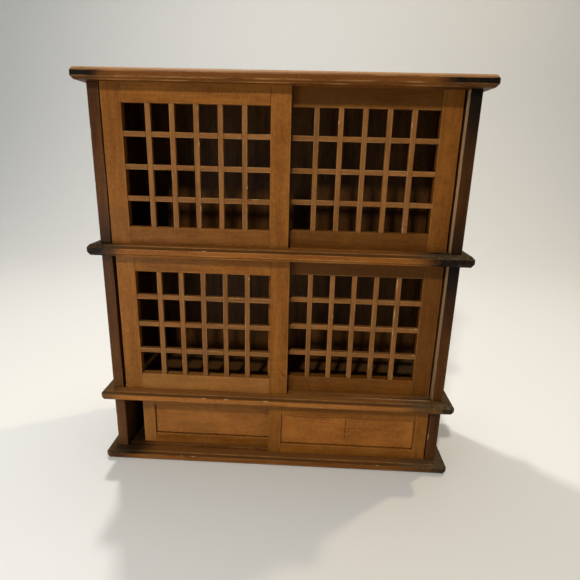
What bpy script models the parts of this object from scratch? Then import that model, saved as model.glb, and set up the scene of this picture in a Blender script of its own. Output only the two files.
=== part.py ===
"""Table-top cabinet with three tiers of sliding doors between four overhanging boards.

Metres, +Z up, the front towards -Y, and the origin under the middle of the base board,
on the surface that the cabinet stands on.
"""

import bmesh
import bpy

# Case
CASE_WIDTH = 0.420
CASE_DEPTH = 0.140
BOARD_THICKNESS = 0.0125
SIDE_THICKNESS = 0.0125
BACK_THICKNESS = 0.005
OVERHANG = 0.0128
EDGE_CHAMFER = 0.0034
LOWER_CLEAR = 0.0735
LATTICE_CLEAR = 0.176

# Housings of the sides and grooves of the backs
SIDE_TONGUE_THICKNESS = 0.0065
SIDE_TONGUE_LENGTH = 0.0032
SIDE_TONGUE_STOP = 0.008
BACK_INSET = 0.006
BACK_TONGUE_LENGTH = 0.0025

# Tracks of the doors
FRONT_DOOR_INSET = 0.002
DOOR_THICKNESS = 0.0095
DOOR_PASSING_GAP = 0.0015
DOOR_TONGUE_THICKNESS = 0.0045
SILL_GROOVE_DEPTH = 0.0025
HEAD_TONGUE_LENGTH = 0.0028
LIFT_CLEARANCE = 0.0005
SHOULDER_CLEARANCE = 0.0005
DOOR_END_PLAY = 0.001

# Frames of the lattice doors
LATTICE_STILE_WIDTH = 0.022
LATTICE_RAIL_HEIGHT = 0.0205
BAR_WIDTH = 0.0057
BAR_DEPTH = 0.0065
BAR_INSET = 0.0008
BAR_STUB_LENGTH = 0.003
COLUMN_PITCH = 0.02665
UPRIGHT_BARS = 5
CROSS_BARS = 3

# Frames of the panel doors
PANEL_STILE_WIDTH = 0.0155
PANEL_TOP_RAIL_HEIGHT = 0.0185
PANEL_BOTTOM_RAIL_HEIGHT = 0.0125
PANEL_THICKNESS = 0.0035
PANEL_INSET = 0.003
PANEL_TONGUE_LENGTH = 0.0025

# Mortises and tenons of the door frames
TENON_LENGTH = 0.009
TENON_THICKNESS = 0.0032
TENON_INNER_SHOULDER = 0.004
TENON_OUTER_SHOULDER = 0.002

# Distance of each door from its stop against the side, as it stands in the photograph
UPPER_LEFT_OPEN = 0.0005
UPPER_RIGHT_OPEN = 0.0015
MIDDLE_LEFT_OPEN = 0.003
MIDDLE_RIGHT_OPEN = 0.0016
LOWER_LEFT_OPEN = 0.0187
LOWER_RIGHT_OPEN = 0.0017

# Gap kept between pieces that touch, and how far a cut runs past an open face
FIT_GAP = 0.0003
CUT_PAST = 0.001

# Linear colours, as red, green and blue, and one roughness for the worn finish
BOARD_COLOUR = (0.150, 0.062, 0.020)
SIDE_COLOUR = (0.052, 0.026, 0.013)
BACK_COLOUR = (0.060, 0.026, 0.010)
FRAME_COLOUR = (0.185, 0.075, 0.022)
BAR_COLOUR = (0.210, 0.095, 0.032)
PANEL_COLOUR = (0.190, 0.072, 0.020)
WOOD_ROUGHNESS = 0.55

# Places that follow from the sizes
INNER_WIDTH = CASE_WIDTH - 2 * SIDE_THICKNESS
BOARD_WIDTH = CASE_WIDTH + 2 * OVERHANG
BOARD_DEPTH = CASE_DEPTH + OVERHANG
BOARD_FRONT = -BOARD_DEPTH / 2
CASE_FRONT = BOARD_FRONT + OVERHANG
CASE_REAR = CASE_FRONT + CASE_DEPTH
BACK_SPAN = (CASE_REAR - BACK_INSET - BACK_THICKNESS, CASE_REAR - BACK_INSET)
SIDE_TONGUE_SPAN = (CASE_FRONT + SIDE_TONGUE_STOP, BACK_SPAN[0] - SIDE_TONGUE_STOP)
SIDE_TONGUE_INSET = (SIDE_THICKNESS - SIDE_TONGUE_THICKNESS) / 2
REAR_DOOR_INSET = FRONT_DOOR_INSET + DOOR_THICKNESS + DOOR_PASSING_GAP
LIFT = SILL_GROOVE_DEPTH + LIFT_CLEARANCE
HEAD_GROOVE_DEPTH = HEAD_TONGUE_LENGTH + LIFT
LOWER_FLOOR = BOARD_THICKNESS
MIDDLE_FLOOR = LOWER_FLOOR + LOWER_CLEAR + BOARD_THICKNESS
UPPER_FLOOR = MIDDLE_FLOOR + LATTICE_CLEAR + BOARD_THICKNESS
TOP_BOARD_LOW = UPPER_FLOOR + LATTICE_CLEAR


def grown(span, by):
    """The pair of values moved apart by the same amount at both ends."""
    return span[0] - by, span[1] + by


def mirrored(span):
    """The pair of values on the other side of zero."""
    return -span[1], -span[0]


def add_box(shape, x, y, z):
    """Adds a closed box between three pairs of values to a bmesh."""
    for vert in bmesh.ops.create_cube(shape, size=1.0)["verts"]:
        ends = zip(vert.co, (x, y, z))
        vert.co = [low if side < 0 else high for side, (low, high) in ends]


def box_shape(x, y, z):
    shape = bmesh.new()
    add_box(shape, x, y, z)
    return shape


def prism_shape(outline, x):
    """A bmesh with an outline in Y and Z, drawn between a pair of X values."""
    shape = bmesh.new()
    face = shape.faces.new([shape.verts.new((x[0], y, z)) for y, z in outline])
    drawn = bmesh.ops.extrude_face_region(shape, geom=[face])["geom"]
    moved = [part for part in drawn if isinstance(part, bmesh.types.BMVert)]
    bmesh.ops.translate(shape, verts=moved, vec=(x[1] - x[0], 0, 0))
    return shape


def wood(name, colour):
    material = bpy.data.materials.new(name + "_wood")
    material.use_nodes = True
    surface = material.node_tree.nodes["Principled BSDF"]
    surface.inputs["Base Color"].default_value = (*colour, 1.0)
    surface.inputs["Roughness"].default_value = WOOD_ROUGHNESS
    surface.inputs["Metallic"].default_value = 0.0
    return material


def new_object(name, shape, parent=None, location=(0, 0, 0)):
    bmesh.ops.recalc_face_normals(shape, faces=shape.faces)
    mesh = bpy.data.meshes.new(name)
    shape.to_mesh(mesh)
    shape.free()
    made = bpy.data.objects.new(name, mesh)
    made.location = location
    made.parent = parent
    bpy.context.scene.collection.objects.link(made)
    return made


def shape_with(piece, boxes, operation):
    """Joins boxes to a piece (UNION) or cuts them out of it (DIFFERENCE)."""
    shape = bmesh.new()
    for x, y, z in boxes:
        add_box(shape, x, y, z)
    name = f"{piece.name}_{operation.lower()}"
    helper = new_object(name, shape, piece.parent, piece.location)
    helper.hide_render = True
    helper.display_type = "WIRE"
    modifier = piece.modifiers.new(operation.lower(), "BOOLEAN")
    modifier.operation = operation
    modifier.object = helper


def new_piece(name, shape, colour, parent=None, location=(0, 0, 0), joined=(), cut=()):
    """One wooden piece: a blank, the boxes joined to it and the boxes cut out of it."""
    piece = new_object(name, shape, parent, location)
    piece.data.materials.append(wood(name, colour))
    if joined:
        shape_with(piece, joined, "UNION")
    if cut:
        shape_with(piece, cut, "DIFFERENCE")
    return piece


def board_blank():
    """A board with its front and end arrises chamfered, above and below, and at its front corners."""
    shape = box_shape((-BOARD_WIDTH / 2, BOARD_WIDTH / 2), (BOARD_FRONT, CASE_REAR), (0, BOARD_THICKNESS))
    worked = []
    for edge in shape.edges:
        first, second = (vert.co for vert in edge.verts)
        at_front = first.y < 0 and second.y < 0
        along_end = first.x == second.x and first.z == second.z
        if at_front or along_end:
            worked.append(edge)
    bmesh.ops.bevel(shape, geom=worked, offset=EDGE_CHAMFER, offset_type="OFFSET", segments=1, affect="EDGES")
    return shape


def track_cuts(depth_span):
    """The pair of door grooves across a board, between two heights."""
    across = (-INNER_WIDTH / 2, INNER_WIDTH / 2)
    cuts = []
    for inset in (FRONT_DOOR_INSET, REAR_DOOR_INSET):
        front = CASE_FRONT + inset
        tongue = grown((front, front + DOOR_TONGUE_THICKNESS), FIT_GAP)
        cuts.append((across, tongue, depth_span))
    return cuts


def housing_cuts(depth_span):
    """The stopped housings in a board for the tongues of a left and a right side."""
    start = INNER_WIDTH / 2 + SIDE_TONGUE_INSET
    across = grown((start, start + SIDE_TONGUE_THICKNESS), FIT_GAP)
    along = grown(SIDE_TONGUE_SPAN, FIT_GAP)
    return [(span, along, depth_span) for span in (mirrored(across), across)]


def back_cut(depth_span):
    """The groove in a board for the edge of a back panel."""
    half = INNER_WIDTH / 2 + BACK_TONGUE_LENGTH + FIT_GAP
    return (-half, half), grown(BACK_SPAN, FIT_GAP), depth_span


def cuts_above():
    """What a board holds on its top for the tier over it."""
    top = BOARD_THICKNESS + CUT_PAST
    cuts = track_cuts((BOARD_THICKNESS - SILL_GROOVE_DEPTH, top))
    cuts += housing_cuts((BOARD_THICKNESS - SIDE_TONGUE_LENGTH - FIT_GAP, top))
    cuts.append(back_cut((BOARD_THICKNESS - BACK_TONGUE_LENGTH - FIT_GAP, top)))
    return cuts


def cuts_below():
    """What a board holds on its underside for the tier under it."""
    cuts = track_cuts((-CUT_PAST, HEAD_GROOVE_DEPTH))
    cuts += housing_cuts((-CUT_PAST, SIDE_TONGUE_LENGTH + FIT_GAP))
    cuts.append(back_cut((-CUT_PAST, BACK_TONGUE_LENGTH + FIT_GAP)))
    return cuts


def make_board(name, low, tier_above, tier_below):
    cut = []
    if tier_above:
        cut += cuts_above()
    if tier_below:
        cut += cuts_below()
    new_piece(name, board_blank(), BOARD_COLOUR, location=(0, 0, low), cut=cut)


def make_side(tier, hand, floor, clear):
    """A side panel, tongued into the boards at both ends and grooved for the back."""
    turn = mirrored if hand == "left" else tuple
    inner = INNER_WIDTH / 2
    start = inner + SIDE_TONGUE_INSET
    across = turn((inner, inner + SIDE_THICKNESS))
    tongue = turn((start, start + SIDE_TONGUE_THICKNESS))
    groove = turn((inner - CUT_PAST, inner + BACK_TONGUE_LENGTH + FIT_GAP))
    blank = box_shape(across, (CASE_FRONT, CASE_REAR), (FIT_GAP, clear - FIT_GAP))
    tongues = [(tongue, SIDE_TONGUE_SPAN, (-SIDE_TONGUE_LENGTH, clear + SIDE_TONGUE_LENGTH))]
    grooves = [(groove, grown(BACK_SPAN, FIT_GAP), (-CUT_PAST, clear + CUT_PAST))]
    new_piece(f"{tier}_{hand}_side", blank, SIDE_COLOUR, None, (0, 0, floor), tongues, grooves)


def make_back(tier, floor, clear):
    half = INNER_WIDTH / 2 + BACK_TONGUE_LENGTH
    blank = box_shape((-half, half), BACK_SPAN, (-BACK_TONGUE_LENGTH, clear + BACK_TONGUE_LENGTH))
    new_piece(f"{tier}_back", blank, BACK_COLOUR, location=(0, 0, floor))


class Door:
    """The sizes of one sliding door, in its own frame.

    X runs from the middle of the door, Y back from its front face and Z up from the floor of
    its tier. The empty that carries its pieces lies on the line that the door slides along.
    """

    def __init__(self, name, hand, track_inset, floor, clear, stile, top_rail, bottom_rail, opened):
        self.name = name
        self.stile = stile
        self.width = (INNER_WIDTH + stile) / 2 - DOOR_END_PLAY
        self.opening_half = self.width / 2 - stile
        self.opening_low = bottom_rail
        self.opening_high = clear - top_rail
        self.low = FIT_GAP - SILL_GROOVE_DEPTH
        self.low_shoulder = SHOULDER_CLEARANCE
        self.high_shoulder = clear - LIFT
        self.high = clear + HEAD_TONGUE_LENGTH
        from_stop = FIT_GAP + opened + self.width / 2
        middle = from_stop - INNER_WIDTH / 2 if hand == "left" else INNER_WIDTH / 2 - from_stop
        self.carrier = bpy.data.objects.new(name, None)
        self.carrier.location = (middle, CASE_FRONT + track_inset, floor)
        bpy.context.scene.collection.objects.link(self.carrier)

    def piece(self, part, shape, colour, joined=(), cut=()):
        new_piece(f"{self.name}_{part}", shape, colour, self.carrier, joined=joined, cut=cut)

    def bottom_outline(self, top):
        """Outline of a piece that runs in the sill groove, up to a height."""
        return [(0, self.low), (DOOR_TONGUE_THICKNESS, self.low), (DOOR_TONGUE_THICKNESS, self.low_shoulder),
                (DOOR_THICKNESS, self.low_shoulder), (DOOR_THICKNESS, top), (0, top)]

    def top_outline(self, bottom):
        """Outline of a piece that runs in the head groove, down to a height."""
        return [(0, bottom), (DOOR_THICKNESS, bottom), (DOOR_THICKNESS, self.high_shoulder),
                (DOOR_TONGUE_THICKNESS, self.high_shoulder), (DOOR_TONGUE_THICKNESS, self.high), (0, self.high)]

    def stile_outline(self):
        """Outline of a stile, which runs in both grooves."""
        middle = (self.low_shoulder + self.high_shoulder) / 2
        return self.bottom_outline(middle)[:4] + self.top_outline(middle)[2:]

    def tenon_heights(self):
        """The heights of the bottom and of the top rail's tenons."""
        bottom = (self.low_shoulder + TENON_OUTER_SHOULDER, self.opening_low - TENON_INNER_SHOULDER)
        top = (self.opening_high + TENON_INNER_SHOULDER, self.high_shoulder - TENON_OUTER_SHOULDER)
        return bottom, top

    def make_stile(self, hand, cut):
        """A stile with the mortises of both rails and the cuts that its infill needs."""
        turn = mirrored if hand == "left" else tuple
        inner = self.opening_half
        depth = grown(tenon_span(), FIT_GAP)
        reach = turn((inner - CUT_PAST, inner + TENON_LENGTH + FIT_GAP))
        mortises = [(reach, depth, grown(height, FIT_GAP)) for height in self.tenon_heights()]
        infill = [(turn(x), y, z) for x, y, z in cut]
        blank = prism_shape(self.stile_outline(), turn((inner, inner + self.stile)))
        self.piece(f"{hand}_stile", blank, FRAME_COLOUR, cut=mortises + infill)

    def make_rail(self, part, outline, tenon_height, cut):
        """A rail with a tenon at each end and the cuts that its infill needs."""
        shoulder = self.opening_half - FIT_GAP
        end = self.opening_half + TENON_LENGTH
        blank = prism_shape(outline, (-shoulder, shoulder))
        tenon = ((-end, end), tenon_span(), tenon_height)
        self.piece(part, blank, FRAME_COLOUR, [tenon], cut)

    def make_frame(self, stile_cuts, bottom_cuts, top_cuts):
        bottom_tenon, top_tenon = self.tenon_heights()
        self.make_stile("left", stile_cuts)
        self.make_stile("right", stile_cuts)
        self.make_rail("bottom_rail", self.bottom_outline(self.opening_low), bottom_tenon, bottom_cuts)
        self.make_rail("top_rail", self.top_outline(self.opening_high), top_tenon, top_cuts)


def tenon_span():
    """Front and back of a tenon, in the middle of the door's thickness."""
    start = (DOOR_THICKNESS - TENON_THICKNESS) / 2
    return start, start + TENON_THICKNESS


def bar_spans(count, middle, pitch):
    """Both edges of each of a row of evenly spaced bars."""
    first = middle - pitch * (count - 1) / 2
    starts = [first + pitch * step - BAR_WIDTH / 2 for step in range(count)]
    return [(start, start + BAR_WIDTH) for start in starts]


def lattice_shape(uprights, crosses, x, z):
    """A flat lattice of half-lapped bars: the squares of a grid that lie on a bar, drawn to its depth."""
    across = sorted({*x, *(edge for span in uprights for edge in span)})
    heights = sorted({*z, *(edge for span in crosses for edge in span)})
    shape = bmesh.new()
    corners = [[shape.verts.new((place, BAR_INSET, height)) for place in across] for height in heights]
    for row, low in enumerate(heights[:-1]):
        on_cross = any(low == span[0] for span in crosses)
        for column, left in enumerate(across[:-1]):
            if on_cross or any(left == span[0] for span in uprights):
                lower, upper = corners[row], corners[row + 1]
                shape.faces.new((lower[column], lower[column + 1], upper[column + 1], upper[column]))
    bmesh.ops.delete(shape, geom=[vert for vert in shape.verts if not vert.link_faces], context="VERTS")
    drawn = bmesh.ops.extrude_face_region(shape, geom=list(shape.faces))["geom"]
    moved = [part for part in drawn if isinstance(part, bmesh.types.BMVert)]
    bmesh.ops.translate(shape, verts=moved, vec=(0, BAR_DEPTH, 0))
    return shape


def make_lattice_door(name, hand, track_inset, floor, opened):
    door = Door(name, hand, track_inset, floor, LATTICE_CLEAR, LATTICE_STILE_WIDTH, LATTICE_RAIL_HEIGHT,
                LATTICE_RAIL_HEIGHT, opened)
    low, high = door.opening_low, door.opening_high
    clear_row = (high - low - CROSS_BARS * BAR_WIDTH) / (CROSS_BARS + 1)
    uprights = bar_spans(UPRIGHT_BARS, 0, COLUMN_PITCH)
    crosses = bar_spans(CROSS_BARS, (low + high) / 2, clear_row + BAR_WIDTH)
    reach = door.opening_half + BAR_STUB_LENGTH
    depth = grown((BAR_INSET, BAR_INSET + BAR_DEPTH), FIT_GAP)
    stub = BAR_STUB_LENGTH + FIT_GAP
    stile_cuts = [((door.opening_half - CUT_PAST, door.opening_half + stub), depth, grown(span, FIT_GAP))
                  for span in crosses]
    bottom_cuts = [(grown(span, FIT_GAP), depth, (low - stub, low + CUT_PAST)) for span in uprights]
    top_cuts = [(grown(span, FIT_GAP), depth, (high - CUT_PAST, high + stub)) for span in uprights]
    door.make_frame(stile_cuts, bottom_cuts, top_cuts)
    ends = grown((low, high), BAR_STUB_LENGTH)
    door.piece("lattice", lattice_shape(uprights, crosses, (-reach, reach), ends), BAR_COLOUR)


def make_panel_door(name, hand, track_inset, floor, opened):
    door = Door(name, hand, track_inset, floor, LOWER_CLEAR, PANEL_STILE_WIDTH, PANEL_TOP_RAIL_HEIGHT,
                PANEL_BOTTOM_RAIL_HEIGHT, opened)
    low, high = door.opening_low, door.opening_high
    half = door.opening_half
    depth = (PANEL_INSET, PANEL_INSET + PANEL_THICKNESS)
    groove = PANEL_TONGUE_LENGTH + FIT_GAP
    slot = grown(depth, FIT_GAP)
    through = grown((-half, half), CUT_PAST)
    stile_cuts = [((half - CUT_PAST, half + groove), slot, grown((low, high), groove))]
    bottom_cuts = [(through, slot, (low - groove, low + CUT_PAST))]
    top_cuts = [(through, slot, (high - CUT_PAST, high + groove))]
    door.make_frame(stile_cuts, bottom_cuts, top_cuts)
    across = grown((-half, half), PANEL_TONGUE_LENGTH)
    door.piece("panel", box_shape(across, depth, grown((low, high), PANEL_TONGUE_LENGTH)), PANEL_COLOUR)


def make_case():
    make_board("base_board", 0, True, False)
    make_board("lower_shelf_board", MIDDLE_FLOOR - BOARD_THICKNESS, True, True)
    make_board("upper_shelf_board", UPPER_FLOOR - BOARD_THICKNESS, True, True)
    make_board("top_board", TOP_BOARD_LOW, False, True)
    tiers = (("lower", LOWER_FLOOR, LOWER_CLEAR), ("middle", MIDDLE_FLOOR, LATTICE_CLEAR),
             ("upper", UPPER_FLOOR, LATTICE_CLEAR))
    for tier, floor, clear in tiers:
        make_side(tier, "left", floor, clear)
        make_side(tier, "right", floor, clear)
        make_back(tier, floor, clear)


def make_doors():
    make_lattice_door("upper_left_door", "left", FRONT_DOOR_INSET, UPPER_FLOOR, UPPER_LEFT_OPEN)
    make_lattice_door("upper_right_door", "right", REAR_DOOR_INSET, UPPER_FLOOR, UPPER_RIGHT_OPEN)
    make_lattice_door("middle_left_door", "left", FRONT_DOOR_INSET, MIDDLE_FLOOR, MIDDLE_LEFT_OPEN)
    make_lattice_door("middle_right_door", "right", REAR_DOOR_INSET, MIDDLE_FLOOR, MIDDLE_RIGHT_OPEN)
    make_panel_door("lower_left_door", "left", REAR_DOOR_INSET, LOWER_FLOOR, LOWER_LEFT_OPEN)
    make_panel_door("lower_right_door", "right", FRONT_DOOR_INSET, LOWER_FLOOR, LOWER_RIGHT_OPEN)


def main():
    for leftover in list(bpy.data.objects):
        bpy.data.objects.remove(leftover)
    make_case()
    make_doors()


main()
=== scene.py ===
"""Dresses the tansu display cabinet. Every piece of wood gets softened, worn arrises and a stained
finish, and each lattice is laid out as single half-lapped bars. Lengths are in metres."""

import math

import bpy
from mathutils import Matrix, Vector


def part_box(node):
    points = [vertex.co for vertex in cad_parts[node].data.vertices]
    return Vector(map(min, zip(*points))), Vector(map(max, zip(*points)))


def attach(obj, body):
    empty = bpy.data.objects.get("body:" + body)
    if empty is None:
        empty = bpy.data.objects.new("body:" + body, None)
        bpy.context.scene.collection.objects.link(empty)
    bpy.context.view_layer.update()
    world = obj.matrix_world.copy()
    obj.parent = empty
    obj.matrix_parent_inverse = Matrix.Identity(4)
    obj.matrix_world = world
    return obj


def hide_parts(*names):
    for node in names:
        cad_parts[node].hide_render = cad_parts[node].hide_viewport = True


# The view of the photograph: where the lens stands, and how it is turned
EYE = (0.03403, -0.58921, 0.39279)
EYE_TURN = math.radians(2.136)
EYE_DIP = math.radians(16.402)
EYE_LEAN = math.radians(1.483)
LENS_MM = 28.606

# The axes that the grain runs along
X_AXIS = 0
Z_AXIS = 2

# How far the arrises are rubbed off, and how deep the uneven wear goes past that
BOARD_ARRIS = 0.0005
BOARD_DENTS = 0.0004
SIDE_ARRIS = 0.0006
SIDE_DENTS = 0.0004
FRAME_ARRIS = 0.0005
LATTICE_FRAME_ARRIS = 0.0002
FRAME_DENTS = 0.0002
PANEL_ARRIS = 0.0004
PANEL_DENTS = 0.0001
BACK_ARRIS = 0.0004
BACK_DENTS = 0.0001
BAR_ARRIS = 0.0005
BAR_DENTS = 0.0003

# How finely the arrises are cut up, how large the marks on them are, and how edges are told apart
ARRIS_STEPS = 4
NICK_STEPS = 3
DENT_SPACING = 0.006
DENT_SIZE = 0.007
CHIP_SIZE = 0.0016
CLEAR_OF_POINTS = 0.0002
ARRIS_ANGLE = math.radians(30)
SMOOTH_ANGLE = math.radians(40)
MERGE_REACH = 1e-6
FLAT_ANGLE = math.radians(0.5)
SQUARE_ON = 0.9995

# The lattices: how their bars are set out
BAR_WIDTH = 0.0057
BAR_STUB = 0.003
COLUMN_PITCH = 0.02665
UPRIGHT_BARS = 5
CROSS_BARS = 3
LAP_GAP = 0.0001

# How far a board's chamfer reaches over each of its two faces
BOARD_CHAMFER = 0.0034

# Colours of each finish: the pale streaks, the deep streaks, and the bare wood where it is rubbed
BOARD_TONES = ((0.34, 0.121, 0.019), (0.17, 0.053, 0.007), (0.48, 0.24, 0.08))
SIDE_TONES = ((0.125, 0.046, 0.0085), (0.058, 0.017, 0.0016), (0.34, 0.2, 0.1))
BACK_TONES = ((0.095, 0.039, 0.008), (0.035, 0.013, 0.003), (0.16, 0.08, 0.03))
HONEY_TONES = ((0.262, 0.098, 0.0145), (0.138, 0.0455, 0.0045), (0.42, 0.21, 0.07))
PANEL_TONES = ((0.325, 0.118, 0.021), (0.172, 0.058, 0.009), (0.42, 0.21, 0.07))
BAR_TONES = ((0.25, 0.104, 0.028), (0.14, 0.056, 0.013), (0.42, 0.24, 0.1))
CHIP_TONES = ((0.5, 0.33, 0.16), (0.3, 0.198, 0.096), (0.5, 0.33, 0.16))
# The cracks' walls are painted dark: painted shade and grime
CRACK_SHADE_TONES = ((0.075, 0.028, 0.005), (0.03, 0.011, 0.002), (0.075, 0.028, 0.005))

# Colours that lie over the finishes in places
WARM_STAIN = (1.0, 0.82, 0.62)
INNER_TONE = (0.45, 0.29, 0.15)
TOP_DUST = (0.146, 0.07, 0.02)
# Darker tone on the shelves' chamfers: painted shade and grime
CHAMFER_SHADE_AND_GRIME = (0.062, 0.021, 0.0025)
# Pale painted highlight laid on the upper half of the top board's chamfers
TOP_PAINTED_HIGHLIGHT = (0.42, 0.23, 0.1)
# Near-black: the charred ends, also laid as painted shade on the sides' heads and feet and on the
# base board by the left side
CHAR_AND_SHADE = (0.005, 0.0026, 0.001)
END_DUST = (0.125, 0.083, 0.043)
TRACK_RUB = (0.3, 0.15, 0.05)
# Painted shade in the panels' recesses along their frames
RECESS_SHADE = (0.03, 0.011, 0.002)
# Painted shade, multiplied over the boards inside the case
CASE_FLOOR_SHADE = (0.34, 0.365, 0.425)

# The grain: how often each kind of streak repeats in a metre, along the wood and across it
FIGURE_GRAIN = (9.0, 110.0)
FIBRE_GRAIN = (26.0, 800.0)
PORE_GRAIN = (130.0, 2100.0)
RUB_GRAIN = (24.0, 160.0)
GRAIN_SWAY = (0.008, 0.008, 0.008)

# How the wood shines, how deep its grain is, and how far its rubbed arrises reach
SHEEN = 0.1
SATIN = 0.42
GRAIN_STRENGTH = 0.25
GRAIN_DEPTH = 0.0004
RUB_FROM = 0.0011
RUB_FULL = 0.0002

# How far a face is tilted up where it starts to count as looking up, and where it fully does
UP_FROM = 0.3
UP_FULL = 0.6

# How dark each piece is made: above 0 darker, below 0 paler. Mostly it is how the piece took the
# stain or wore; on the right doors' rails it is partly painted shade, and on the lower doors' top
# rails and the middle left door's bottom rail partly painted light and shade.
STAINS_AND_SHADES = {
    "top_board": 0.67,
    "upper_shelf_board": 0.24,
    "lower_shelf_board": -0.1,
    "base_board": 0.5,
    "upper_left_side": 0.12,
    "upper_right_side": 0.6,
    "middle_left_side": 0.25,
    "middle_right_side": 0.36,
    "lower_left_side": -0.05,
    "lower_right_side": -0.02,
    "upper_left_door_left_stile": 0.1,
    "upper_left_door_bottom_rail": 0.22,
    "upper_right_door_top_rail": 0.62,
    "upper_right_door_bottom_rail": 0.55,
    "upper_right_door_right_stile": 0.22,
    "middle_left_door_bottom_rail": -0.2,
    "middle_right_door_top_rail": 0.7,
    "middle_right_door_bottom_rail": 0.42,
    "middle_right_door_right_stile": 0.62,
    "lower_left_door_panel": -0.1,
    "lower_left_door_left_stile": -0.15,
    "lower_right_door_left_stile": 0.15,
    "lower_left_door_top_rail": -0.12,
    "lower_right_door_top_rail": 0.12,
}

# How black the ends of the boards and the heads of the sides are, from 0 to 1. At the sides'
# heads it is charring and partly painted shade under the board above.
CHARS_AND_SHADES = {
    "top_board": 1.0,
    "upper_shelf_board": 1.0,
    "lower_shelf_board": 0.7,
    "base_board": 0.65,
    "upper_right_side": 1.0,
    "middle_right_side": 1.0,
    "lower_right_side": 0.5,
    "upper_left_side": 0.4,
    "middle_left_side": 0.3,
    "lower_left_side": 0.1,
}

# How much painted shade darkens the feet of the sides, and the base board round the left one,
# from 0 to 1
FOOT_SHADES = {
    "upper_left_side": 0.7,
    "upper_right_side": 0.75,
    "lower_left_side": 0.3,
    "base_board": 1.0,
}

# Nicks knocked out of the arrises: the piece, the place, the axis that the nick runs along
# (0 for X and 2 for Z), its length and its depth
NICKS = (
    ("top_board", (-0.2085, -0.0748, 0.4738), 0, 0.006, 0.0008),
    ("top_board", (-0.1715, -0.0764, 0.4664), 0, 0.004, 0.0005),
    ("top_board", (0.0610, -0.0764, 0.4664), 0, 0.004, 0.0005),
    ("upper_shelf_board", (-0.0850, -0.0764, 0.2836), 0, 0.006, 0.0006),
    ("upper_shelf_board", (0.0250, -0.0764, 0.2779), 0, 0.004, 0.0005),
    ("lower_shelf_board", (-0.0900, -0.0764, 0.0951), 0, 0.005, 0.0006),
    ("lower_shelf_board", (-0.0620, -0.0764, 0.0951), 0, 0.006, 0.0006),
    ("lower_shelf_board", (-0.0120, -0.0764, 0.0951), 0, 0.005, 0.0005),
    ("lower_shelf_board", (0.0560, -0.0764, 0.0894), 0, 0.005, 0.0006),
    ("base_board", (-0.1220, -0.0764, 0.0091), 0, 0.004, 0.0005),
    ("base_board", (-0.1070, -0.0764, 0.0091), 0, 0.005, 0.0006),
    ("base_board", (0.1340, -0.0764, 0.0091), 0, 0.006, 0.0006),
    ("upper_left_side", (-0.2100, -0.0636, 0.4120), 2, 0.010, 0.0009),
    ("upper_left_side", (-0.2100, -0.0636, 0.3550), 2, 0.006, 0.0007),
    ("middle_left_side", (-0.2100, -0.0636, 0.1500), 2, 0.008, 0.0008),
    ("lower_left_side", (-0.2100, -0.0636, 0.0560), 2, 0.012, 0.0010),
    ("lower_left_side", (-0.2100, -0.0636, 0.0290), 2, 0.008, 0.0008),
    ("lower_right_side", (0.1975, -0.0636, 0.0470), 2, 0.010, 0.0008),
    ("middle_left_door_left_stile", (-0.1867, -0.0616, 0.1775), 0, 0.004, 0.0004),
    ("upper_left_door_upright_bar_2", (-0.1225, -0.0608, 0.3660), 2, 0.005, 0.0013),
    ("upper_left_door_upright_bar_3", (-0.0902, -0.0608, 0.4390), 2, 0.005, 0.0012),
    ("upper_left_door_upright_bar_3", (-0.0902, -0.0608, 0.4010), 2, 0.006, 0.0012),
    ("upper_left_door_upright_bar_3", (-0.0902, -0.0608, 0.3310), 2, 0.007, 0.0012),
    ("upper_left_door_upright_bar_5", (-0.0369, -0.0608, 0.3562), 2, 0.005, 0.0014),
    ("upper_left_door_cross_bar_1", (-0.0281, -0.0608, 0.3426), 0, 0.008, 0.0012),
    ("upper_right_door_upright_bar_2", (0.0625, -0.0498, 0.4279), 2, 0.005, 0.0013),
    ("upper_right_door_upright_bar_5", (0.1424, -0.0498, 0.4268), 2, 0.006, 0.0013),
    ("upper_right_door_upright_bar_5", (0.1424, -0.0498, 0.3127), 2, 0.005, 0.0013),
    ("middle_left_door_cross_bar_3", (-0.0492, -0.0608, 0.2245), 0, 0.004, 0.0015),
    ("middle_left_door_upright_bar_4", (-0.0610, -0.0608, 0.1869), 2, 0.004, 0.0013),
    ("middle_left_door_upright_bar_5", (-0.0400, -0.0608, 0.1890), 2, 0.004, 0.0013),
    ("middle_left_door_upright_bar_5", (-0.0344, -0.0608, 0.2490), 2, 0.004, 0.0013),
    ("middle_right_door_upright_bar_2", (0.0680, -0.0498, 0.2015), 2, 0.006, 0.0013),
    ("middle_right_door_upright_bar_3", (0.0890, -0.0498, 0.1237), 2, 0.005, 0.0012),
    ("middle_right_door_upright_bar_5", (0.1423, -0.0498, 0.2452), 2, 0.014, 0.0010),
    ("middle_right_door_upright_bar_5", (0.1423, -0.0498, 0.2064), 2, 0.018, 0.0010),
    ("middle_right_door_upright_bar_5", (0.1423, -0.0498, 0.1834), 2, 0.012, 0.0010),
    ("middle_right_door_upright_bar_5", (0.1479, -0.0498, 0.1240), 2, 0.005, 0.0012),
    ("middle_right_door_cross_bar_1", (0.1706, -0.0498, 0.1541), 0, 0.004, 0.0013),
    ("middle_right_door_cross_bar_2", (0.1706, -0.0498, 0.1893), 0, 0.004, 0.0014),
)

# Cracks in the faces: the piece, both ends, the width and the depth
CRACKS = (
    (
        "lower_right_door_panel",
        (0.0911, -0.0586, 0.0370),
        (0.0911, -0.0586, 0.0630),
        0.0008,
        0.001,
    ),
    (
        "middle_left_door_right_stile",
        (0.0118, -0.0616, 0.1215),
        (0.0007, -0.0616, 0.1354),
        0.0005,
        0.0008,
    ),
)
CRACK_SPACING = 0.0012
CRACK_WANDER = 0.004

# Where the arrises of the door tracks lie behind a board's front edge
TRACK_LINES = (0.0145, 0.0196, 0.0255, 0.0306)

# How far a panel's edges are let into its frame
PANEL_TONGUE = 0.0025

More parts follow.
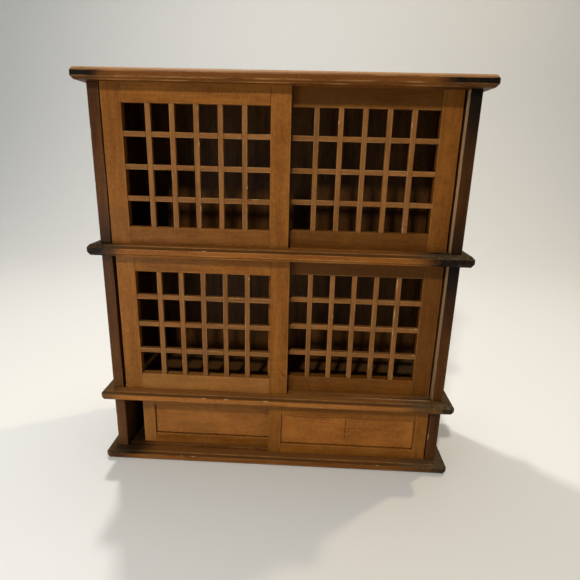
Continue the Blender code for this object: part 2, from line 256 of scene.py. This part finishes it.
# The lamps: the name, the place, the point it is aimed at, its size, its watts and its colour
LAMPS = (
    ("key_lamp", (-0.3, -1.5, 1.6), (0.0, -0.06, 0.24), 0.12, 23.0, (1.0, 0.92, 0.78)),
    ("low_lamp", (-0.6, -0.9, 0.08), (-0.1, -0.06, 0.1), 0.3, 3.4, (0.92, 0.96, 1.0)),
    ("left_ceiling_lamp", (-0.52, 0.77, 2.0), (0.0, 0.0, 0.2), 0.12, 19.0, (1.0, 0.97, 0.92)),
    ("right_ceiling_lamp", (1.25, 0.83, 2.0), (0.0, 0.0, 0.2), 0.12, 14.0, (1.0, 0.78, 0.5)),
    ("overhead_lamp", (0.05, 0.1, 1.8), (0.0, 0.0, 0.4), 0.6, 5.0, (1.0, 0.97, 0.93)),
)

# The light from the room all round
ROOM_LIGHT = (0.75, 0.9, 1.0, 1.0)
ROOM_STRENGTH = 0.18

# The floor, just under the cabinet, and the backdrop that it sweeps up into
FLOOR_PAINT = (0.78, 0.785, 0.785)
FLOOR_MIDDLE = (0, -1.2, -0.0003)
FLOOR_SIZE = (9.0, 6.0, 1.0)
BACKDROP_RISE = (0, 0, 3.0)
SWEEP_WIDTH = 0.8
SWEEP_STEPS = 12

BOARDS = ("base_board", "lower_shelf_board", "upper_shelf_board", "top_board")
TIERS = ("lower", "middle", "upper")
HANDS = ("left", "right")


def pick(piece):
    """Makes this piece the only one selected, and the active one."""
    bpy.ops.object.select_all(action="DESELECT")
    piece.select_set(True)
    bpy.context.view_layer.objects.active = piece


def apply_modifier(piece, kind, **settings):
    """Adds a modifier with these settings and applies it."""
    pick(piece)
    modifier = piece.modifiers.new(kind, kind)
    for name, value in settings.items():
        setattr(modifier, name, value)
    bpy.ops.object.modifier_apply(modifier=modifier.name)


def span(piece):
    """The lowest and highest corner of a piece."""
    corners = [Vector(corner) for corner in piece.bound_box]
    low = Vector(map(min, *corners))
    high = Vector(map(max, *corners))
    return low, high


def blank(name, low, high):
    """A squared length of wood between two corners."""
    bpy.ops.object.select_all(action="DESELECT")
    bpy.ops.mesh.primitive_cube_add(size=1, location=(low + high) / 2, scale=high - low)
    piece = bpy.context.active_object
    piece.name = name
    bpy.ops.object.transform_apply(location=True, rotation=True, scale=True)
    return piece


def copy_of_node(node):
    """A copy of a part of the frame, with its loose triangles merged back into whole faces."""
    piece = bpy.data.objects.new(node + "_wood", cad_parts[node].data.copy())
    bpy.context.scene.collection.objects.link(piece)
    pick(piece)
    piece.data.materials.clear()
    bpy.ops.mesh.customdata_custom_splitnormals_clear()
    bpy.ops.object.mode_set(mode="EDIT")
    bpy.ops.mesh.select_all(action="SELECT")
    bpy.ops.mesh.remove_doubles(threshold=MERGE_REACH)
    bpy.ops.mesh.dissolve_limited(angle_limit=FLAT_ANGLE)
    bpy.ops.object.mode_set(mode="OBJECT")
    return piece


def round_arrises(piece, width):
    """Takes off every sharp edge with a narrow rounded strip."""
    apply_modifier(
        piece,
        "BEVEL",
        width=width,
        segments=ARRIS_STEPS,
        limit_method="ANGLE",
        angle_limit=ARRIS_ANGLE,
        miter_outer="MITER_SHARP",
    )


def cut_into_lengths(piece, along, spacing=DENT_SPACING):
    """Cuts the piece's faces across its length, so that its arrises have points to wear at."""
    low, high = span(piece)
    normal = Vector((0, 0, 0))
    normal[along] = 1
    count = int((high[along] - low[along]) / spacing)
    taken = [point.co[along] for point in piece.data.vertices]
    pick(piece)
    bpy.ops.object.mode_set(mode="EDIT")
    for index in range(1, count):
        point = low.lerp(high, index / count)
        while any(abs(point[along] - place) < CLEAR_OF_POINTS for place in taken):
            point[along] += CLEAR_OF_POINTS
        bpy.ops.mesh.select_all(action="SELECT")
        bpy.ops.mesh.bisect(plane_co=point, plane_no=normal)
    bpy.ops.object.mode_set(mode="OBJECT")


def wear_arrises(piece, depth):
    """Rubs the middle of every rounded strip down unevenly. The flat faces stay flat."""
    mesh = piece.data
    flat = set()
    for face in mesh.polygons:
        if max(map(abs, face.normal)) > SQUARE_ON:
            flat.update(face.vertices)
    group = piece.vertex_groups.new(name="arris")
    group.add([v.index for v in mesh.vertices if v.index not in flat], 1.0, "REPLACE")
    apply_modifier(
        piece,
        "DISPLACE",
        texture=uneven_wear,
        texture_coords="LOCAL",
        vertex_group=group.name,
        strength=-depth,
        mid_level=0.0,
    )
    piece.vertex_groups.clear()


def cut_out(piece, cutter):
    """Cuts one piece out of another. Where the cutter has a finish, the new faces take it."""
    apply_modifier(
        piece,
        "BOOLEAN",
        object=cutter,
        operation="DIFFERENCE",
        solver="EXACT",
        material_mode="TRANSFER" if cutter.data.materials else "INDEX",
    )
    bpy.data.objects.remove(cutter)


def knock_nicks(piece, node):
    """Knocks the nicks of this part out of its arrises, down to bare wood."""
    cutters = []
    for name, place, along, length, depth in NICKS:
        if name != node:
            continue
        scale = [depth, depth, depth]
        scale[along] = length / 2
        bpy.ops.object.select_all(action="DESELECT")
        bpy.ops.mesh.primitive_ico_sphere_add(
            subdivisions=NICK_STEPS, radius=1, location=place, scale=scale
        )
        bpy.ops.object.transform_apply(location=True, rotation=True, scale=True)
        cutter = bpy.context.active_object
        apply_modifier(
            cutter, "DISPLACE", texture=chipping, texture_coords="LOCAL", strength=depth
        )
        cutters.append(cutter)
    if cutters:
        bpy.ops.object.select_all(action="DESELECT")
        for cutter in cutters:
            cutter.select_set(True)
        bpy.ops.object.join()
        cutters[-1].data.materials.append(bare_wood)
        cut_out(piece, cutters[-1])


def open_cracks(piece, node):
    """Opens this part's shallow cracks, which wander over its face; their walls are painted dark,
    as painted shade and grime.
    """
    for name, low_end, high_end, width, depth in CRACKS:
        if name != node:
            continue
        rise = Vector(high_end) - Vector(low_end)
        bpy.ops.object.select_all(action="DESELECT")
        bpy.ops.mesh.primitive_cube_add(
            size=1,
            location=(Vector(low_end) + Vector(high_end)) / 2,
            rotation=(0, math.atan2(rise.x, rise.z), 0),
            scale=(width, 2 * depth, rise.length),
        )
        bpy.ops.object.transform_apply(location=True, rotation=True, scale=True)
        cutter = bpy.context.active_object
        cut_into_lengths(cutter, Z_AXIS, CRACK_SPACING)
        apply_modifier(
            cutter,
            "DISPLACE",
            texture=uneven_wear,
            texture_coords="LOCAL",
            direction="X",
            strength=CRACK_WANDER,
        )
        cutter.data.materials.append(crack_shade_and_grime)
        cut_out(piece, cutter)


def smooth_arrises(piece):
    """Shades the rounded strips smoothly between faces that stay flat."""
    pick(piece)
    bpy.ops.object.shade_smooth_by_angle(angle=SMOOTH_ANGLE)
    apply_modifier(piece, "WEIGHTED_NORMAL", mode="FACE_AREA", weight=50, keep_sharp=True)


def note_edges(piece, node):
    """Stores how far each point lies from the piece's ends and edges, and how dark it is made: its
    stain and charring, and the painted shade laid with them.
    """
    mesh = piece.data
    low, high = span(piece)
    above = mesh.attributes.new("from_low", "FLOAT_VECTOR", "POINT")
    above.data.foreach_set("vector", [v for point in mesh.vertices for v in point.co - low])
    below = mesh.attributes.new("from_high", "FLOAT_VECTOR", "POINT")
    below.data.foreach_set("vector", [v for point in mesh.vertices for v in high - point.co])
    for name, amounts in (("stain", STAINS_AND_SHADES), ("char", CHARS_AND_SHADES), ("foot", FOOT_SHADES)):
        amount = mesh.attributes.new(name, "FLOAT", "POINT")
        amount.data.foreach_set("value", [amounts.get(node, 0.0)] * len(mesh.vertices))


def finish_piece(piece, body, node):
    """Smooths a shaped piece, notes its edges and ties it to the frame."""
    smooth_arrises(piece)
    note_edges(piece, node)
    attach(piece, body)
    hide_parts(node)


class Reading:
    """A number or colour read over the wood. Sums on it add the nodes that work them out."""

    def __init__(self, finish, socket):
        self.finish = finish
        self.socket = socket

    def __add__(self, other):
        return self.finish.math("ADD", self, other)

    __radd__ = __add__

    def __sub__(self, other):
        return self.finish.math("SUBTRACT", self, other)

    def __rsub__(self, other):
        return self.finish.math("SUBTRACT", other, self)

    def __mul__(self, other):
        return self.finish.math("MULTIPLY", self, other)


class Finish:
    """A material in the making."""

    def __init__(self, name):
        self.material = bpy.data.materials.new(name)
        self.material.use_nodes = True
        self.tree = self.material.node_tree
        self.tree.nodes.clear()

    def node(self, kind, settings, inputs, output=0):
        """Adds a node: its settings first, then each input as a number, a colour or a reading."""
        made = self.tree.nodes.new(kind)
        for name, value in settings.items():
            if name == "stops":
                self.set_stops(made.color_ramp, value)
            else:
                setattr(made, name, value)
        for name, value in inputs.items():
            socket = made.inputs[name]
            if isinstance(value, Reading):
                self.tree.links.new(value.socket, socket)
            elif socket.type == "RGBA":
                socket.default_value = (*value, 1.0)
            else:
                socket.default_value = value
        return Reading(self, made.outputs[output]) if made.outputs else None

    @staticmethod
    def set_stops(ramp, stops):
        """Sets a ramp's colours, each at its place from 0 to 1."""
        while len(ramp.elements) < len(stops):
            ramp.elements.new(1.0)
        for element, (place, colour) in zip(ramp.elements, stops):
            element.position = place
            element.color = (*colour, 1.0)

    def math(self, operation, *values):
        """A sum on numbers or readings."""
        return self.node("ShaderNodeMath", {"operation": operation}, dict(enumerate(values)))

    def vector(self, operation, *values):
        """A sum on vectors."""
        return self.node("ShaderNodeVectorMath", {"operation": operation}, dict(enumerate(values)))

    def parts(self, vector):
        """The three parts of a vector."""
        return [self.node("ShaderNodeSeparateXYZ", {}, {0: vector}, output=i) for i in range(3)]

    def attribute(self, name, output):
        """A value that was stored on the piece's points."""
        return self.node("ShaderNodeAttribute", {"attribute_name": name}, {}, output=output)

    def noise(self, place, scale, detail=2.0, roughness=0.5):
        """A cloudy number from 0 to 1."""
        return self.node(
            "ShaderNodeTexNoise",
            {},
            {"Vector": place, "Scale": scale, "Detail": detail, "Roughness": roughness},
        )

    def between(self, value, start, end):
        """0 up to start, 1 from end on, and a smooth rise between. It falls where end is the
        smaller one."""
        return self.node(
            "ShaderNodeMapRange",
            {"interpolation_type": "SMOOTHSTEP"},
            {"Value": value, "From Min": start, "From Max": end},
        )

    def mix(self, share, first, second, blend="MIX"):
        """The first colour, with a share of the second."""
        return self.node(
            "ShaderNodeMix",
            {"data_type": "RGBA", "blend_type": blend},
            {"Factor": share, 6: first, 7: second},
            output=2,
        )


def from_low(finish):
    """How far a point lies from its piece's lowest corner, along each axis."""
    return finish.parts(finish.attribute("from_low", "Vector"))


def from_high(finish):
    """How far a point lies from its piece's highest corner, along each axis."""
    return finish.parts(finish.attribute("from_high", "Vector"))


def from_ends(finish):
    """How far a point lies from its piece's nearest end, along each axis."""
    low = finish.attribute("from_low", "Vector")
    high = finish.attribute("from_high", "Vector")
    return finish.parts(finish.vector("MINIMUM", low, high))


def edge_gap(finish):
    """How far a point of a squared piece lies from its nearest arris."""
    x, y, z = from_ends(finish)
    nearest = finish.math("MINIMUM", x, y)
    further = finish.math("MAXIMUM", x, y)
    return finish.math("MAXIMUM", nearest, finish.math("MINIMUM", further, z))


def facing(finish):
    """How far a face looks along each axis."""
    return finish.parts(finish.node("ShaderNodeNewGeometry", {}, {}, output="Normal"))


def upward(finish):
    """1 on the faces that look up, and 0 on upright and down-facing ones."""
    return finish.between(facing(finish)[2], UP_FROM, UP_FULL)


def board_layer(finish, place, colour, up_tone, up_share):
    """Another tone on a board's up-facing faces, with specks of its own stain left in it."""
    speck = finish.between(finish.noise(place, 700.0, 2.0), 0.5, 0.75)
    return finish.mix(upward(finish) * up_share * (1.0 - speck * 0.5), colour, up_tone)


def worn_track(finish, place):
    """Where the lower shelf is rubbed bare in front of its tracks, towards their right end."""
    x, _, z = finish.parts(place)
    behind = from_low(finish)[1]
    gap = finish.math("ABSOLUTE", behind - TRACK_LINES[0] + 0.001)
    line = finish.between(gap, 0.0021, 0.0012)
    right_end = finish.between(x, 0.07, 0.14) * finish.between(x, 0.198, 0.19)
    return line * right_end * finish.between(z, 0.05, 0.08) * finish.between(z, 0.2, 0.15)


def board_char(finish, place, right_from=0.1, right_full=0.046):
    """How black a board's ends are, the right one further in than the left, and how dusty."""
    left = from_low(finish)[0]
    right = from_high(finish)[0]
    ragged = finish.noise(place, 42.0, 3.0, 0.6)
    amount = finish.attribute("char", "Fac")
    blackest = finish.between(amount, 0.75, 0.95)
    left_end = finish.between(left + ragged * 0.03 - blackest * 0.018, 0.05, 0.018)
    right_end = finish.between(right + ragged * 0.03, right_from, right_full)
    patch = finish.between(finish.noise(place, 160.0, 3.0, 0.65), 0.5, 0.7)
    tip = finish.between(right + ragged * 0.01, 0.045, 0.015)
    share = finish.math("MAXIMUM", left_end, right_end) * finish.math("MAXIMUM", amount, tip)
    share = share * (1.0 - patch * 0.2) * (1.0 - worn_track(finish, place) * 0.9)
    upper = upward(finish) * 0.75
    dull_end = finish.between(amount, 0.9, 0.7) * (upper * 0.9 + 0.25)
    dusty = finish.math("MAXIMUM", dull_end, upper)
    cover = finish.between(finish.noise(place, 240.0, 5.0, 0.7), 0.3, 0.7) * 0.7 + 0.25
    dusty = dusty * cover * (1.0 - left_end * 0.45)
    return share, finish.mix(dusty, CHAR_AND_SHADE, END_DUST)


def top_char(finish, place):
    """How black the top board's ends are: little on its upper faces, half on its lower ones."""
    share, tone = board_char(finish, place, 0.092, 0.058)
    lower = finish.between(facing(finish)[2], -UP_FROM, -UP_FULL) * 0.55
    return share * (1.0 - upward(finish) * 0.85) * (1.0 - lower), tone


def shelf_layer(finish, place, colour):
    """A board's layer: darker chamfers as painted shade and grime, painted shade inside the case
    and round the left foot, and door tracks rubbed bare."""
    colour = board_layer(finish, place, colour, TOP_DUST, 0.55)
    tilt = facing(finish)[2]
    chamfered = finish.between(tilt, 0.4, 0.6) * finish.between(tilt, 0.95, 0.85)
    # The shelves' chamfers are darkened as painted shade and grime
    colour = finish.mix(chamfered * 0.88, colour, CHAMFER_SHADE_AND_GRIME)
    left, behind, _ = from_low(finish)
    # Inside the case the boards are darkened as painted shade
    inside = finish.between(behind, 0.028, 0.036)
    colour = finish.mix(inside * 0.9, colour, CASE_FLOOR_SHADE, "MULTIPLY")
    up = upward(finish)
    gaps = [finish.math("ABSOLUTE", behind - line) for line in TRACK_LINES]
    nearest = gaps[0]
    for gap in gaps[1:]:
        nearest = finish.math("MINIMUM", nearest, gap)
    patch = finish.between(finish.noise(place, 60.0, 3.0, 0.6), 0.4, 0.6)
    rubbed = finish.between(nearest, 0.0009, 0.0003) * up * patch
    colour = finish.mix(rubbed * 0.5, colour, TRACK_RUB)
    colour = finish.mix(worn_track(finish, place) * (patch * 0.2 + 0.7), colour, INNER_TONE)
    from_arris = finish.math("ABSOLUTE", behind - BOARD_CHAMFER)
    arris = finish.between(from_arris, 0.0009, 0.0002) * up
    colour = finish.mix(arris * (patch * 0.3 + 0.3), colour, TRACK_RUB)
    front = (1.0 - up) * finish.between(behind, 0.01, 0.004)
    reach = left + finish.noise(place, 70.0, 3.0, 0.6) * 0.02 + front * 0.018
    # Painted shade on the base board round the foot of the left side
    foot_shade = finish.between(left, 0.003, 0.012) * finish.between(reach, 0.08, 0.046)
    share = foot_shade * (0.88 - front * 0.33) * finish.attribute("foot", "Fac")
    return finish.mix(share, colour, CHAR_AND_SHADE)


def top_layer(finish, place, colour):
    """The top board's layer: some dust, and a pale painted highlight on the upper half of its
    chamfers.
    """
    drop = from_high(finish)[2]
    # Where the painted highlight lies: the upper half of the top board's chamfers
    painted_highlight = finish.between(drop, 0.003, 0.0012) * finish.between(facing(finish)[2], 0.97, 0.88)
    colour = board_layer(finish, place, colour, TOP_DUST, 0.35)
    return board_layer(finish, place, colour, TOP_PAINTED_HIGHLIGHT, painted_highlight * 0.8)


def panel_layer(finish, place, colour):
    """A panel's layer: painted shade in the corner that it makes with its frame."""
    x, _, z = from_ends(finish)
    ragged = finish.noise(place, 240.0, 3.0, 0.6) * 0.0016
    gap = finish.math("MINIMUM", x, z) - PANEL_TONGUE - ragged
    return finish.mix(finish.between(gap, 0.0008, -0.0006) * 0.8, colour, RECESS_SHADE)


def side_layer(finish, place, colour):
    """Pale inner wood on the upper right sides, only where light falls on it: in front of the
    doors, duller lower down. Behind the strip and on the left sides the dark stain stays as
    painted shade.
    """
    x, _, z = finish.parts(place)
    behind = from_low(finish)[1]
    lower = finish.between(z, 0.285, 0.1)
    ragged = finish.noise(place, 90.0, 3.0, 0.6) * 0.002
    # The pale strip stops where the doors' shadow falls, so the dark stain behind it is painted
    # shade
    strip = finish.between(behind + ragged - lower * 0.002, 0.0112, 0.01)
    inner = finish.between(facing(finish)[0], -0.6, -0.9) * strip * (1.0 - lower * 0.35)
    # Only the right sides, where light falls, get the pale wood; the left sides keep the dark
    # stain as painted shade
    upper_right = finish.between(x, 0.0, 0.1) * finish.between(z, 0.08, 0.1)
    return finish.mix(inner * upper_right, colour, INNER_TONE)


def side_char_and_shade(finish, place):
    """How black a side is: most at its head, as charring and partly painted shade, again at its
    foot, as painted shade, and less on its inner face.
    """
    rise = from_low(finish)[2]
    drop = from_high(finish)[2]
    ragged = finish.noise(place, 42.0, 3.0, 0.6) * 0.03
    # The black at a side's head is charring and partly painted shade under the board above
    head = finish.between(drop + ragged, 0.13, 0.02) * finish.attribute("char", "Fac")
    # The dark foot of a side is painted shade
    foot = finish.between(rise + ragged, 0.075, 0.02) * finish.attribute("foot", "Fac")
    outer = finish.between(facing(finish)[0], -0.9, -0.6) * 0.75 + 0.25
    return finish.math("MAXIMUM", head, foot) * outer, CHAR_AND_SHADE


def stained_wood(
    name, along, pale, deep, bare, wear, figured=0.45, chamfer=0.0, layer=None, char=None, dull=0.0
):
    """Stained wood with its grain along one axis: streaks, pores, blotches and rubbed arrises.
    Its upper faces can be duller than the rest."""
    finish = Finish(name)
    place = finish.node("ShaderNodeTexCoord", {}, {}, output="Object")

    def stretched(lengthwise, across):
        """The place on the wood, scaled so that a pattern on it is drawn out along the grain."""
        scale = [across, across, across]
        scale[along] = lengthwise
        return finish.vector("MULTIPLY", waved, scale)

    cloud = {"Vector": place, "Scale": 14.0}
    wander = finish.node("ShaderNodeTexNoise", {}, cloud, output="Color")
    drift = finish.vector("SUBTRACT", wander, (0.5, 0.5, 0.5))
    waved = finish.vector("MULTIPLY_ADD", drift, GRAIN_SWAY, place)
    figure = finish.noise(stretched(*FIGURE_GRAIN), 1.0, 3.0, 0.6)
    fibre = finish.noise(stretched(*FIBRE_GRAIN), 1.0, 2.0, 0.6)
    pores = finish.noise(stretched(*PORE_GRAIN), 1.0, 1.0)
    blotch = finish.noise(place, 22.0, 3.0, 0.55)

    mottle = finish.noise(place, 330.0, 4.0, 0.75)
    tone = figure * figured + fibre * 0.2 + blotch * (0.5 - figured) + mottle * 0.3
    middle = [(first + second) / 2 for first, second in zip(pale, deep)]
    colour = finish.node(
        "ShaderNodeValToRGB", {"stops": [(0.4, deep), (0.5, middle), (0.6, pale)]}, {0: tone}
    )
    warmth = finish.between(finish.noise(place, 31.0, 2.0), 0.35, 0.65)
    colour = finish.mix(warmth * 0.35, colour, WARM_STAIN, "MULTIPLY")
    pore = finish.between(pores, 0.66, 0.74)
    colour = finish.mix(pore * 0.35, colour, [value * 0.35 for value in deep])
    smear = finish.between(finish.noise(place, 75.0, 4.0, 0.65), 0.5, 0.72)
    colour = finish.mix(smear * 0.3, colour, [value * 0.7 for value in deep])
    fleck = finish.between(finish.noise(place, 620.0, 1.0), 0.68, 0.74)
    scuffed = finish.between(blotch, 0.46, 0.6)
    colour = finish.mix(fleck * scuffed * wear, colour, bare)

    # The stain amount darkens or pales the piece: its own stain and wear, and on some rails
    # painted shade and painted light
    stain = finish.attribute("stain", "Fac")
    colour = finish.mix(stain, colour, [value * 0.45 for value in deep])
    colour = finish.mix(0.0 - stain, colour, bare)

    patch = finish.noise(stretched(*RUB_GRAIN), 1.0, 3.0, 0.65)
    reach = finish.math("ABSOLUTE", edge_gap(finish) - chamfer)
    rubbed = finish.between(reach, RUB_FROM, RUB_FULL) * finish.between(patch, 0.36, 0.66)
    colour = finish.mix(rubbed * wear, colour, bare)
    if layer:
        colour = layer(finish, place, colour)
    if char:
        share, black = char(finish, place)
        colour = finish.mix(share, colour, black)

    dullness = upward(finish) * dull
    height = fibre * 0.5 + figure * 0.4 - pore * 0.7
    bump = finish.node(
        "ShaderNodeBump",
        {},
        {"Strength": GRAIN_STRENGTH, "Distance": GRAIN_DEPTH, "Height": height},
    )
    shader = finish.node(
        "ShaderNodeBsdfPrincipled",
        {},
        {
            "Base Color": colour,
            "Roughness": SATIN + fibre * 0.14 + rubbed * 0.2 + pore * 0.1 + dullness,
            "Specular IOR Level": SHEEN,
            "Normal": bump,
        },
    )
    finish.node("ShaderNodeOutputMaterial", {}, {"Surface": shader})
    return finish.material


def plain_surface(name, colour):
    """The pale matt paint of the floor and the sweep behind it."""
    finish = Finish(name)
    place = finish.node("ShaderNodeTexCoord", {}, {}, output="Object")
    cloud = finish.noise(place, 3.0, 2.0)
    tone = finish.mix(cloud * 0.06, colour, [value * 0.8 for value in colour])
    shader = finish.node(
        "ShaderNodeBsdfPrincipled",
        {},
        {"Base Color": tone, "Roughness": 0.75, "Specular IOR Level": 0.2},
    )
    finish.node("ShaderNodeOutputMaterial", {}, {"Surface": shader})
    return finish.material


def dress_node(node, body, finish, arris, dents, along):
    """Replaces a part of the frame with a worn copy of it."""
    piece = copy_of_node(node)
    piece.data.materials.append(finish)
    round_arrises(piece, arris)
    cut_into_lengths(piece, along)
    knock_nicks(piece, node)
    open_cracks(piece, node)
    wear_arrises(piece, dents)
    finish_piece(piece, body, node)


def set_camera():
    """A camera where the photograph's stood."""
    data = bpy.data.cameras.new("photograph_view")
    data.lens = LENS_MM
    camera = bpy.data.objects.new("photograph_view", data)
    bpy.context.scene.collection.objects.link(camera)
    turn = Matrix.Rotation(EYE_TURN, 4, "Z")
    dip = Matrix.Rotation(math.pi / 2 - EYE_DIP, 4, "X")
    lean = Matrix.Rotation(EYE_LEAN, 4, "Z")
    camera.matrix_world = Matrix.Translation(EYE) @ turn @ dip @ lean
    bpy.context.scene.camera = camera


def add_lamp(name, place, aim, size, power, colour):
    """A square soft lamp, aimed at a point."""
    data = bpy.data.lights.new(name, "AREA")
    data.size = size
    data.energy = power
    data.color = colour
    lamp = bpy.data.objects.new(name, data)
    bpy.context.scene.collection.objects.link(lamp)
    lamp.location = place
    lamp.rotation_euler = (Vector(aim) - Vector(place)).to_track_quat("-Z", "Y").to_euler()


def set_lights():
    """The lamps, and the pale light of the room around them."""
    for lamp in LAMPS:
        add_lamp(*lamp)
    world = bpy.data.worlds.new("pale_room")
    bpy.context.scene.world = world
    world.use_nodes = True
    background = world.node_tree.nodes["Background"]
    background.inputs["Color"].default_value = ROOM_LIGHT
    background.inputs["Strength"].default_value = ROOM_STRENGTH


def lay_floor():
    """A pale floor that sweeps up behind the cabinet."""
    bpy.ops.object.select_all(action="DESELECT")
    bpy.ops.mesh.primitive_plane_add(size=1, location=FLOOR_MIDDLE)
    floor = bpy.context.active_object
    floor.name = "pale_floor"
    floor.scale = FLOOR_SIZE
    bpy.ops.object.transform_apply(location=True, rotation=True, scale=True)
    bpy.ops.object.mode_set(mode="EDIT")
    bpy.ops.mesh.select_all(action="DESELECT")
    bpy.ops.object.mode_set(mode="OBJECT")
    rear = max(point.co.y for point in floor.data.vertices)
    for edge in floor.data.edges:
        edge.select = all(floor.data.vertices[v].co.y > rear - MERGE_REACH for v in edge.vertices)
    bpy.ops.object.mode_set(mode="EDIT")
    bpy.ops.mesh.extrude_region_move(TRANSFORM_OT_translate={"value": BACKDROP_RISE})
    bpy.ops.object.mode_set(mode="OBJECT")
    apply_modifier(floor, "BEVEL", width=SWEEP_WIDTH, segments=SWEEP_STEPS, limit_method="ANGLE")
    bpy.ops.object.shade_smooth()
    floor.data.materials.append(plain_surface("pale_floor_paint", FLOOR_PAINT))


def dress_case():
    """The boards, the sides and the backs."""
    board = {"wear": 0.6, "chamfer": BOARD_CHAMFER}
    shelf = stained_wood(
        "shelf_stain",
        X_AXIS,
        *BOARD_TONES,
        layer=shelf_layer,
        char=board_char,
        dull=0.35,
        **board,
    )
    top = stained_wood("top_stain", X_AXIS, *BOARD_TONES, layer=top_layer, char=top_char, **board)
    side = stained_wood("side_stain", Z_AXIS, *SIDE_TONES, 0.4, layer=side_layer, char=side_char_and_shade)
    back = stained_wood("back_stain", Z_AXIS, *BACK_TONES, 0.2)
    for node in BOARDS:
        finish = top if node == "top_board" else shelf
        dress_node(node, "case", finish, BOARD_ARRIS, BOARD_DENTS, X_AXIS)
    for tier in TIERS:
        for hand in HANDS:
            node = f"{tier}_{hand}_side"
            dress_node(node, "case", side, SIDE_ARRIS, SIDE_DENTS, Z_AXIS)
        dress_node(f"{tier}_back", "case", back, BACK_ARRIS, BACK_DENTS, Z_AXIS)


def dress_doors():
    """The stiles, rails and panels of the doors."""
    stile = stained_wood("stile_stain", Z_AXIS, *HONEY_TONES, 0.4, figured=0.3)
    rail = stained_wood("rail_stain", X_AXIS, *HONEY_TONES, 0.4, figured=0.3)
    panel = stained_wood("panel_stain", X_AXIS, *PANEL_TONES, 0.3, figured=0.15, layer=panel_layer)
    for tier in TIERS:
        for hand in HANDS:
            door = f"{tier}_{hand}_door"
            arris = FRAME_ARRIS if tier == "lower" else LATTICE_FRAME_ARRIS
            for edge in HANDS:
                node = f"{door}_{edge}_stile"
                dress_node(node, door, stile, arris, FRAME_DENTS, Z_AXIS)
            for edge in ("top", "bottom"):
                node = f"{door}_{edge}_rail"
                dress_node(node, door, rail, arris, FRAME_DENTS, X_AXIS)
            if tier == "lower":
                node = f"{door}_panel"
                dress_node(node, door, panel, PANEL_ARRIS, PANEL_DENTS, X_AXIS)


def bar_lines(low, high):
    """The middles of a lattice's upright bars along X and of its cross bars along Z."""
    middle = (low + high) / 2
    row_pitch = (high.z - low.z - 2 * BAR_STUB + BAR_WIDTH) / (CROSS_BARS + 1)
    columns = [middle.x + (i - (UPRIGHT_BARS - 1) / 2) * COLUMN_PITCH for i in range(UPRIGHT_BARS)]
    rows = [middle.z + (i - (CROSS_BARS - 1) / 2) * row_pitch for i in range(CROSS_BARS)]
    return columns, rows


def shape_bars(low, high):
    """The first upright and the first cross bar of a lattice, notched to lap flush."""
    columns, rows = bar_lines(low, high)
    half = BAR_WIDTH / 2
    lap = (low.y + high.y) / 2
    left, right = columns[0] - half, columns[0] + half
    foot, head = rows[0] - half, rows[0] + half
    upright = blank("upright_bar", Vector((left, low.y, low.z)), Vector((right, high.y, high.z)))
    for z in rows:
        notch_low = Vector((left - half, lap, z - half - LAP_GAP))
        notch_high = Vector((right + half, high.y + half, z + half + LAP_GAP))
        cut_out(upright, blank("notch_cutter", notch_low, notch_high))
    cross = blank("cross_bar", Vector((low.x, low.y, foot)), Vector((high.x, high.y, head)))
    for x in columns:
        notch_low = Vector((x - half - LAP_GAP, low.y - half, foot - half))
        notch_high = Vector((x + half + LAP_GAP, lap + LAP_GAP, head + half))
        cut_out(cross, blank("notch_cutter", notch_low, notch_high))
    for bar, along in ((upright, Z_AXIS), (cross, X_AXIS)):
        round_arrises(bar, BAR_ARRIS)
        cut_into_lengths(bar, along)
    return upright, cross


def lay_lattices(doors):
    """The upright and cross bars of each lattice door, all copied from one pair of patterns."""
    low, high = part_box(f"{doors[0]}_lattice")
    columns, rows = bar_lines(low, high)
    upright, cross = shape_bars(low, high)
    upright_finish = stained_wood("upright_bar_stain", Z_AXIS, *BAR_TONES, 0.7)
    cross_finish = stained_wood("cross_bar_stain", X_AXIS, *BAR_TONES, 0.7)
    for door in doors:
        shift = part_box(f"{door}_lattice")[0] - low
        for number, x in enumerate(columns, 1):
            step = shift + Vector((x - columns[0], 0, 0))
            dress_bar(upright, f"{door}_upright_bar_{number}", door, step, upright_finish)
        for number, z in enumerate(rows, 1):
            step = shift + Vector((0, 0, z - rows[0]))
            dress_bar(cross, f"{door}_cross_bar_{number}", door, step, cross_finish)
    bpy.data.objects.remove(upright)
    bpy.data.objects.remove(cross)


def dress_bar(pattern, name, door, step, finish):
    """A copy of a bar, moved by a step, worn in its own way and tied to its door."""
    pick(pattern)
    bpy.ops.object.duplicate()
    bar = bpy.context.active_object
    bar.name = name
    bpy.ops.transform.translate(value=step)
    bpy.ops.object.transform_apply(location=True, rotation=True, scale=True)
    bar.data.materials.append(finish)
    knock_nicks(bar, name)
    wear_arrises(bar, BAR_DENTS)
    finish_piece(bar, door, f"{door}_lattice")


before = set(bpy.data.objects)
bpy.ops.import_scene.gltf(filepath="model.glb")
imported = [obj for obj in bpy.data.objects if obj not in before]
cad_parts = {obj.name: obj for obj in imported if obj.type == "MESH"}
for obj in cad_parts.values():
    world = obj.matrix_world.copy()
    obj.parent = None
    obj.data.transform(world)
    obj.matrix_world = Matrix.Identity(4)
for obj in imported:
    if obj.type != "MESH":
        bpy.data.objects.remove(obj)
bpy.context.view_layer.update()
uneven_wear = bpy.data.textures.new("uneven_wear", "CLOUDS")
uneven_wear.noise_scale = DENT_SIZE
chipping = bpy.data.textures.new("chipping", "CLOUDS")
chipping.noise_scale = CHIP_SIZE
bare_wood = stained_wood("bare_wood", X_AXIS, *CHIP_TONES, 0.0)
# The dark finish of the cracks' walls: painted shade and grime
crack_shade_and_grime = stained_wood("crack_shade_and_grime", Z_AXIS, *CRACK_SHADE_TONES, 0.0)

dress_case()
dress_doors()
lay_lattices([f"{tier}_{hand}_door" for tier in ("upper", "middle") for hand in HANDS])
lay_floor()
set_lights()
set_camera()
bpy.context.scene.view_settings.view_transform = "Standard"
